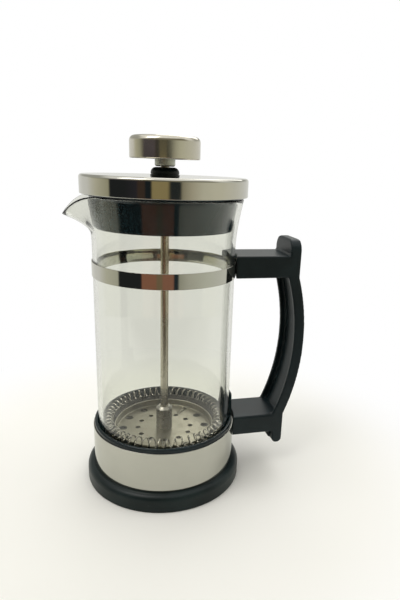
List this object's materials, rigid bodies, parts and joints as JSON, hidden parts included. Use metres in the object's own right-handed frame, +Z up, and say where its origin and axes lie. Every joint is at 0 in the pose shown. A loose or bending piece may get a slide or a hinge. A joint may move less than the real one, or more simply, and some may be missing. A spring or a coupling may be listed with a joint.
{
  "type": "french press",
  "caption": "Glass coffee press with a banded base, side handle, lift-off lid and a plunger that drives a spring-edged filter.",
  "frame": {"origin": "centre of the foot's underside, on the beaker's axis", "axes": "+Z up along the beaker's axis, +X towards the handle, -X towards the spout, Y across the handle"},
  "size_m": [0.1219, 0.0824, 0.1758],
  "materials": {
    "black_plastic": "moulded, satin",
    "handle_plastic": "moulded, satin to gloss",
    "gloss_black_plastic": "moulded, glossy",
    "polished_steel": "mirror polished stainless sheet",
    "satin_steel": "turned, fine satin",
    "drawn_steel": "drawn bar, satin",
    "filter_steel": "pressed sheet, warm grey",
    "spring_steel": "bright drawn wire",
    "woven_steel": "fine plain weave",
    "zinc_steel": "zinc plated",
    "clear_glass": "clear, fire polished rim"
  },
  "bodies": {
    "stand": {"base_foot": "black_plastic", "base_cup": "black_plastic", "base_band": "polished_steel", "base_screws": "zinc_steel", "handle": "handle_plastic", "clamp_band": "polished_steel", "clamp_nut": "zinc_steel"},
    "clamp_screw": {"clamp_screw": "zinc_steel"},
    "beaker": {"glass_beaker": "clear_glass"},
    "lid": {"lid_cover": "polished_steel", "lid_plug": "gloss_black_plastic", "rod_bushing": "black_plastic", "bushing_nut": "zinc_steel"},
    "plunger": {"plunger_rod": "drawn_steel"},
    "knob": {"knob_shell": "satin_steel", "knob_insert": "black_plastic", "knob_neck": "satin_steel"},
    "filter": {"filter_hub": "drawn_steel", "filter_plate": "filter_steel", "edge_spring": "spring_steel", "filter_screen": "woven_steel", "cross_plate": "filter_steel", "filter_nut": "drawn_steel"}
  },
  "joints": [
    {"name": "clamp_turn", "type": "hinge", "parent": "stand", "child": "clamp_screw", "pos_m": [0.04302, 0, 0.1143], "axis": [0, 1, 0], "continuous": true},
    {"name": "beaker_lift", "type": "slide", "parent": "stand", "child": "beaker", "axis": [0, 0, 1], "range_m": [0, 0.11]},
    {"name": "lid_lift", "type": "slide", "parent": "beaker", "child": "lid", "axis": [0, 0, 1], "range_m": [0, 0.135]},
    {"name": "plunger_slide", "type": "slide", "parent": "lid", "child": "plunger", "axis": [0, 0, 1], "range_m": [0, 0.0985]},
    {"name": "knob_turn", "type": "hinge", "parent": "plunger", "child": "knob", "pos_m": [0, 0, 0.17], "axis": [0, 0, 1], "continuous": true},
    {"name": "filter_turn", "type": "hinge", "parent": "plunger", "child": "filter", "pos_m": [0, 0, 0.03], "axis": [0, 0, 1], "continuous": true}
  ]
}
